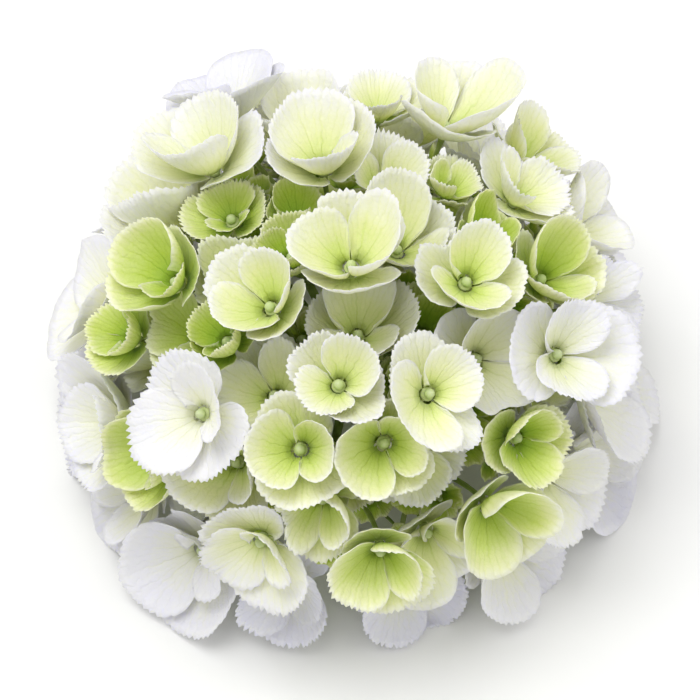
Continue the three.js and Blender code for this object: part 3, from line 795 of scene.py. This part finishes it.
def ruffle(point, normal, share, spot, sepal, random, looks):
    """Waves that all sepals of a floret share, a roll of one side and a groove down the middle."""
    reach, breadthways = spot
    turn = np.arctan2(breadthways, reach) + sepal.order * math.pi / 2
    rimward = share[:, None]
    offset = np.zeros(reach.shape)
    for waves, phase in looks["waves"]:
        rise = looks["wave"] * rimward**WAVE_POWER
        offset += rise * np.sin(waves * turn + phase) / math.sqrt(waves)
    across = np.linspace(-1, 1, reach.shape[1])[None, :]
    side = 1 if random() > 0.5 else -1
    most = INNER_ROLL if sepal.inner else ROLL
    roll = most * random() * rimward**3 * np.clip(side * across, 0, 1) ** 2
    roll = roll + CUP * sepal.inner * rimward**CUP_POWER * across**2
    ripple = RIPPLE * rimward**3
    ripple = ripple * np.sin(RIPPLES * math.pi * across + RIPPLE_PHASE * random())
    groove = GROOVE * np.exp(-((across / GROOVE_WIDTH) ** 2)) * np.sin(rimward * math.pi)
    return point + normal * (offset + roll + ripple - groove)[..., None]


def sepal_values(share, rim, sepal, looks, random):
    """tone: 0 green to 1 white; tint: lavender; shade: how dark by the base, partly the real greener
    base and partly painted shade in the bowl.
    """
    inward = share[:, None] * np.ones(len(rim))[None, :]
    edge = np.clip((inward - WHITE_RIM_FROM) / (1 - WHITE_RIM_FROM), 0, 1)
    own = SEPAL_TONE_VARIES * (random() - 0.5)
    tone = looks["tone"] + own + looks["rise"] * (inward - TONE_LEVEL) + looks["rim"] * edge
    tint = looks["tint"] * (TINT_BASE + (1 - TINT_BASE) * inward)
    # Painted shade in the floret's bowl, partly the real greener base: darkest at the base, fading out
    # over the throat
    shade = looks["dark"] * np.exp(-(((inward - INNERMOST) / looks["throat"]) ** 2))
    return np.stack([tone, tint, shade], axis=-1).reshape(-1, 3)


def floret_looks(floret):
    """What one floret's sepals share: colour, teeth and waves, by age and by chance."""
    random = seeded((floret.index + 1) * LOOKS_SEED)
    old = floret.age
    toothed = random() > SMOOTH_RIMS
    least, more = FLORET_TEETH
    return {
        "tone": np.interp(old, *AGE_TONES) + TONE_VARIES * (random() - 0.5),
        "rise": TONE_RISE - RIPE_LOSS * max(0, old - RIPE),
        "rim": WHITE_RIM * (1 - old),
        # How far and how dark the base goes: painted shade in the bowl, partly the real greener base
        "throat": THROAT[0] + THROAT[1] * (1 - old),
        "dark": DARK[0] - DARK[1] * old,
        "tint": max(0, old - TINT_FROM) * TINT_GAIN * random() ** TINT_POWER,
        "teeth": TOOTH * (least + more * random() if toothed else SMOOTH_TOOTH),
        "wave": WAVE * (WAVE_LEAST + (1 - WAVE_LEAST) * random()),
        "waves": [(waves, 2 * math.pi * random()) for waves in WAVES],
    }, random


def bud_points(floret, radius, height, grid):
    """A round body pointed at the top, with a groove between each two of its valves."""
    sides, rings = grid
    middle = 2 * SEPAL_STEP + BUD_LENGTH / 2 - BUD_SUNK
    down = np.linspace(0, math.pi, rings + 1)[:, None]
    turn = np.linspace(0, 2 * math.pi, sides, endpoint=False)[None, :]
    grooved = 1 - VALVE_GROOVE * np.abs(np.cos(VALVES / 2 * turn)) ** VALVE_POWER * np.sin(down)
    wide = radius * np.sin(down) * grooved
    tip = BUD_TIP * height * np.clip(np.cos(down), 0, 1) ** BUD_TIP_POWER
    tall = height / 2 * np.cos(down) + tip + np.zeros_like(turn)
    spoke = np.cos(turn)[..., None] * floret.along + np.sin(turn)[..., None] * floret.across
    return (wide[..., None] * spoke + (middle + tall)[..., None] * floret.axis).reshape(-1, 3)


def add_bud(builder, floret, width):
    """A floret's closed bud; a young one's is narrower and coarser."""
    grid = BUD_GRID if width == 1 else YOUNG_BUD_GRID
    sides, rings = grid
    scale = width * (BUD_KEEPS + (1 - BUD_KEEPS) * floret.size)
    points = bud_points(floret, SHOWN_BUD_RADIUS * scale, BUD_LENGTH * width, grid) + floret.seat
    level = np.repeat(np.linspace(0, 1, rings + 1), sides)
    around = np.tile(np.linspace(0, 1, sides, endpoint=False), rings + 1)
    values = np.stack([1 - level, around * 0, level], axis=-1)
    faces = grid_faces(rings + 1, sides, closed=True)[:, ::-1]
    builder.add(points, faces, np.stack([around, level], axis=-1), values)


def add_tube(builder, path, radii, tone, sides=8):
    """A round tube along a path, with closed ends."""
    path = np.array(path)
    ways = np.gradient(path, axis=0)
    side = unit(np.cross(ways[0], NO_STALK_WAY))
    turn = np.linspace(0, 2 * math.pi, sides, endpoint=False)
    rings = []
    for point, way, radius in zip(path, ways, radii):
        way = unit(way)
        side = unit(side - way * side.dot(way))
        other = np.cross(way, side)
        spokes = np.outer(np.cos(turn), side) + np.outer(np.sin(turn), other)
        rings.append(point + radius * spokes)
    rings = [np.repeat(path[:1], sides, axis=0), *rings, np.repeat(path[-1:], sides, axis=0)]
    count = len(rings)
    run = np.linalg.norm(path[-1] - path[0])
    level = np.repeat(np.linspace(0, 1, count), sides)
    around = np.tile(np.linspace(0, 1, sides, endpoint=False), count)
    values = np.stack([level * 0 + tone, level * 0, level], axis=-1)
    uvs = np.stack([around, level * run / STALK_UV], axis=-1)
    builder.add(np.concatenate(rings), grid_faces(count, sides, closed=True), uvs, values)


def bent(start, bend, end, count):
    """count points along a curve that leaves start and reaches end by way of bend."""
    t = np.linspace(0, 1, count)[:, None]
    return (1 - t) ** 2 * start + 2 * t * (1 - t) * bend + t**2 * end


def pedicel_path(floret, fork):
    """From a cyme's fork to the floret's seat, which it reaches along the floret's axis."""
    bend = floret.seat - floret.axis * PEDICEL_BEND * np.linalg.norm(floret.seat - fork)
    return bent(fork, bend, floret.seat + floret.axis * PEDICEL_TOP, len(PEDICEL_RADII))


def add_pedicel(builder, floret, fork, width):
    """A floret's own stalk and the receptacle on it."""
    young, aging = PEDICEL_TONE
    tone = young + aging * floret.age
    add_tube(builder, pedicel_path(floret, fork), width * PEDICEL_RADII, tone)
    top = [floret.seat + floret.axis * height for height in RECEPTACLE_HEIGHTS]
    add_tube(builder, top, width * RECEPTACLE_RADII, 1, RECEPTACLE_SIDES)


def colour(hexed):
    """A linear colour from a six-digit one."""
    parts = [int(hexed[place : place + 2], 16) / 255 for place in (0, 2, 4)]
    return (*[p / 12.92 if p <= 0.04045 else ((p + 0.055) / 1.055) ** 2.4 for p in parts], 1)


class Nodes:
    """A material's node tree, with short ways to add to it."""

    def __init__(self, name):
        self.material = bpy.data.materials.new(name)
        self.material.use_nodes = True
        self.tree = self.material.node_tree
        self.tree.nodes.clear()

    def add(self, kind, inputs=None, **settings):
        node = self.tree.nodes.new("ShaderNode" + kind)
        for key, value in settings.items():
            setattr(node, key, value)
        for key, value in (inputs or {}).items():
            self.put(node, key, value)
        return node

    def put(self, node, key, value):
        if isinstance(value, bpy.types.NodeSocket):
            self.tree.links.new(value, node.inputs[key])
        else:
            node.inputs[key].default_value = value

    def math(self, operation, first, second=0.0, clamp=False):
        node = self.add("Math", {0: first, 1: second}, operation=operation, use_clamp=clamp)
        return node.outputs[0]

    def value(self, name):
        return self.add("Attribute", attribute_name=name).outputs["Fac"]

    def ramp(self, factor, stops):
        node = self.add("ValToRGB", {"Fac": factor})
        elements = node.color_ramp.elements
        while len(elements) < len(stops):
            elements.new(0.5)
        for element, (place, hexed) in zip(elements, stops):
            element.position = place
            element.color = colour(hexed)
        return node.outputs["Color"]

    def mix(self, factor, first, second):
        node = self.add("Mix", data_type="RGBA")
        self.put(node, 0, factor)
        self.put(node, 6, first)
        self.put(node, 7, second)
        return node.outputs[2]

    def noise(self, vector, scale):
        inputs = {"Vector": vector, "Scale": scale, "Detail": NOISE_DETAIL}
        return self.add("TexNoise", inputs).outputs["Fac"]

    def finish(self, inputs):
        shader = self.add("BsdfPrincipled", inputs)
        output = self.add("OutputMaterial")
        self.tree.links.new(shader.outputs[0], output.inputs[0])
        return self.material


def vein_lines(nodes, across, wiggle, veins):
    """Lines that fan out from the sepal's base."""
    count, width = veins
    moved = nodes.math("MULTIPLY", wiggle, VEIN_WIGGLE)
    placed = nodes.math("MULTIPLY", nodes.math("ADD", across, moved), count)
    off = nodes.math("SUBTRACT", nodes.math("FRACT", placed), HALFWAY)
    off = nodes.math("ABSOLUTE", off)
    return nodes.math("SUBTRACT", 1.0, nodes.math("DIVIDE", off, width), clamp=True)


def vein_pattern(nodes, place):
    """Few wide veins that fade towards the rim, and many fine ones that grow there."""
    uv = nodes.add("TexCoord").outputs["UV"]
    across, out = nodes.add("SeparateXYZ", {0: uv}).outputs[:2]
    wiggle = nodes.math("SUBTRACT", nodes.noise(place, WIGGLE_SCALE), HALFWAY)
    main = vein_lines(nodes, across, wiggle, MAIN_VEINS)
    fine = vein_lines(nodes, across, wiggle, FINE_VEINS)
    growing = nodes.math("MULTIPLY", out, FINE_VEINS_GROW)
    fading = nodes.math("SUBTRACT", 1.0, nodes.math("MULTIPLY", out, MAIN_VEINS_FADE))
    outer = nodes.math("MULTIPLY", fine, growing)
    return nodes.math("MAXIMUM", nodes.math("MULTIPLY", main, fading), outer)


def sepal_material(name):
    """Colour by age, veins and a net of small ones, lavender tint, and a dark base that is partly the
    real greener base and partly painted shade in the bowl.
    """
    nodes = Nodes(name)
    place = nodes.add("TexCoord").outputs["Object"]
    veins = vein_pattern(nodes, place)
    voronoi = {"Vector": place, "Scale": NET_SCALE}
    cells = nodes.add("TexVoronoi", voronoi, feature="DISTANCE_TO_EDGE").outputs[0]
    net = nodes.math("SUBTRACT", 1.0, nodes.math("DIVIDE", cells, NET_WIDTH), clamp=True)
    patches = nodes.math("SUBTRACT", nodes.noise(place, PATCH_SCALE), HALFWAY)
    tone = nodes.math("ADD", nodes.value("tone"), nodes.math("MULTIPLY", patches, PATCH_TONE))
    tone = nodes.math("SUBTRACT", tone, nodes.math("MULTIPLY", veins, VEIN_TONE))
    tone = nodes.math("SUBTRACT", tone, nodes.math("MULTIPLY", net, NET_TONE))
    tint = nodes.math("MULTIPLY", nodes.value("tint"), LAVENDER_MOST)
    # Painted shade in the floret's bowl, partly the sepal's real greener base: the colour turns greyish
    # green towards the base
    shade = nodes.math("MULTIPLY", nodes.value("shade"), GREEN_AND_SHADE_MOST)
    base = nodes.mix(tint, nodes.ramp(tone, SEPAL_TONES), colour(LAVENDER))
    base = nodes.mix(shade, base, colour(GREEN_AND_SHADE_BASE))
    raised = nodes.math("MULTIPLY", veins, VEIN_RELIEF)
    height = nodes.math("SUBTRACT", nodes.noise(place, GRAIN_SCALE), raised)
    bump = nodes.add("Bump", {"Height": height, "Strength": 0.55, "Distance": 0.0003})
    rough = nodes.math("MULTIPLY", patches, PATCH_ROUGHNESS)
    return nodes.finish({
        "Base Color": base,
        "Roughness": nodes.math("ADD", rough, SEPAL_ROUGHNESS),
        "Normal": bump.outputs[0],
        "Subsurface Weight": 0.45,
        "Subsurface Radius": (1.0, 1.0, 0.55),
        "Subsurface Scale": 0.0009,
        "Specular IOR Level": 0.3,
        "Sheen Weight": 0.1,
    })


def green_material(name, stops, spots):
    """Buds and stalks: tones along the piece, with spots and a fine grain."""
    nodes = Nodes(name)
    place = nodes.add("TexCoord").outputs["Object"]
    patches = nodes.math("SUBTRACT", nodes.noise(place, SPOT_SCALE), HALFWAY)
    tone = nodes.math("ADD", nodes.value("tone"), nodes.math("MULTIPLY", patches, spots))
    grain = nodes.noise(place, STALK_GRAIN_SCALE)
    bump = nodes.add("Bump", {"Height": grain, "Strength": 0.3, "Distance": 0.0002})
    return nodes.finish({
        "Base Color": nodes.ramp(tone, stops),
        "Roughness": 0.5,
        "Normal": bump.outputs[0],
        "Subsurface Weight": 0.2,
        "Subsurface Radius": (0.8, 1.0, 0.4),
        "Subsurface Scale": 0.001,
        "Specular IOR Level": 0.35,
    })


def dress(piece, node):
    """Lets a piece ride on the body, in place of its solid, which it hides."""
    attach(piece, "root")
    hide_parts(node)


def shape_floret(floret, fineness):
    """Gives a floret the shapes of its four sepals."""
    looks, random = floret_looks(floret)
    floret.shapes = [
        shape_sepal(floret, sepal, random, looks, fineness) for sepal in floret.sepals
    ]


def add_floret(builders, floret, fork, width):
    """Adds a floret's blades, bud and pedicel to its cyme's three pieces."""
    sepals, centres, twigs = builders
    for shape in floret.shapes:
        add_blade(sepals, shape)
    add_bud(centres, floret, width)
    add_pedicel(twigs, floret, fork, width)


def build_cyme(cyme, materials, knot):
    """One cyme's sepals, buds and stalks, which together replace its solid."""
    node, fork = cyme["node"], cyme["fork"]
    builders = [Builder(), Builder(), Builder()]
    for floret in cyme["florets"]:
        add_floret(builders, floret, fork, 1)
    for floret in cyme["young"]:
        shape_floret(floret, COARSE)
        add_floret(builders, floret, fork, YOUNG_WIDTH)
    way = unit(fork - knot)
    branch = [fork + way * step for step in FORK_STEPS]
    add_tube(builders[-1], branch, FORK_RADII, FORK_TONE, BRANCH_SIDES)
    for title, builder, material in zip(("sepals", "buds", "stalks"), builders, materials):
        dress(builder.piece(f"{title}_{node[-2:]}", material), node)


def build_stem(cymes, shift, material):
    """The peduncle with its knot, and the ray to each cyme's branchlet."""
    stem = Builder()
    knot = UP * KNOT_HEIGHT + shift
    path = [UP * height + shift for height in PEDUNCLE_HEIGHTS]
    add_tube(stem, path, PEDUNCLE_RADII, PEDUNCLE_TONE, PEDUNCLE_SIDES)
    for cyme in cymes:
        way = unit(cyme["fork"] - knot)
        end = cyme["fork"] - way * (BRANCHLET + RAY_GAP)
        start = knot + way * RAY_START
        path = [start + (end - start) * share for share in np.linspace(0, 1, len(RAY_RADII))]
        add_tube(stem, path, RAY_RADII, RAY_TONE, BRANCH_SIDES)
    dress(stem.piece("stem", material), "peduncle")


def build_head():
    """The whole flower head; gives back how far its middle lies from the origin."""
    cymes, shift = grow()
    slots = {row["node"]: row["material_slot"] for row in frame["record"]["subparts"]}
    sepal_slots = sorted(set(slots.values()) - {"stem"})
    sepal_materials = {slot: sepal_material(slot) for slot in sepal_slots}
    buds = green_material("buds", BUD_TONES, BUD_SPOTS)
    stalks = green_material("stalks", STALK_TONES, STALK_SPOTS)
    florets = [floret for cyme in cymes for floret in cyme["florets"]]
    for floret in florets:
        shape_floret(floret, FINE)
    trim(florets)
    grown = [shape["point"].reshape(-1, 3) for floret in florets for shape in floret.shapes]
    add_young(cymes, shift, np.concatenate(grown))
    for cyme in cymes:
        slot = slots[cyme["node"]]
        build_cyme(cyme, (sepal_materials[slot], buds, stalks), UP * KNOT_HEIGHT + shift)
    build_stem(cymes, shift, stalks)
    return shift


def build_stage():
    """A plain pale floor, an even pale sky and two soft lamps."""
    bpy.ops.mesh.primitive_plane_add(size=FLOOR_SIZE)
    floor = bpy.context.object
    floor.name = "floor"
    nodes = Nodes("floor")
    floor.data.materials.append(nodes.finish({"Base Color": colour(FLOOR), "Roughness": 0.9}))
    world = bpy.data.worlds.new("studio")
    bpy.context.scene.world = world
    world.use_nodes = True
    background = world.node_tree.nodes["Background"]
    background.inputs["Color"].default_value = (1, 1, 1, 1)
    background.inputs["Strength"].default_value = WORLD_LIGHT
    for name, place, size, watts in LAMPS:
        lamp = bpy.data.lights.new(name, "AREA")
        lamp.size = size
        lamp.energy = watts
        obj = bpy.data.objects.new(name, lamp)
        bpy.context.scene.collection.objects.link(obj)
        obj.location = place
        aim = Vector(LAMP_AIM) - obj.location
        obj.rotation_mode = "QUATERNION"
        obj.rotation_quaternion = aim.to_track_quat("-Z", "Y")


def build_camera(shift):
    """A camera that sees the head as the photograph does."""
    scene = bpy.context.scene
    data = bpy.data.cameras.new("camera")
    camera = bpy.data.objects.new("camera", data)
    scene.collection.objects.link(camera)
    data.sensor_width = SENSOR
    data.lens = data.sensor_width * CAMERA_DISTANCE / (PIXEL * IMAGE)
    elevation = math.radians(CAMERA_ELEVATION)
    back = np.array([0, -math.cos(elevation), math.sin(elevation)])
    up = np.array([0, math.sin(elevation), math.cos(elevation)])
    aside = (IMAGE / 2 - MIDDLE_PIXEL[0]) * PIXEL
    above = (MIDDLE_PIXEL[1] - IMAGE / 2) * PIXEL
    aim = UP * BALL_MIDDLE + shift + np.array([aside, 0, 0]) + up * above
    camera.location = Vector((aim + back * CAMERA_DISTANCE) * MM)
    camera.rotation_mode = "QUATERNION"
    camera.rotation_quaternion = Vector(-back).to_track_quat("-Z", "Y")
    data.clip_start, data.clip_end = CAMERA_CLIPS
    scene.camera = camera
    scene.view_settings.view_transform = "Standard"


shift = build_head()
build_stage()
build_camera(shift)
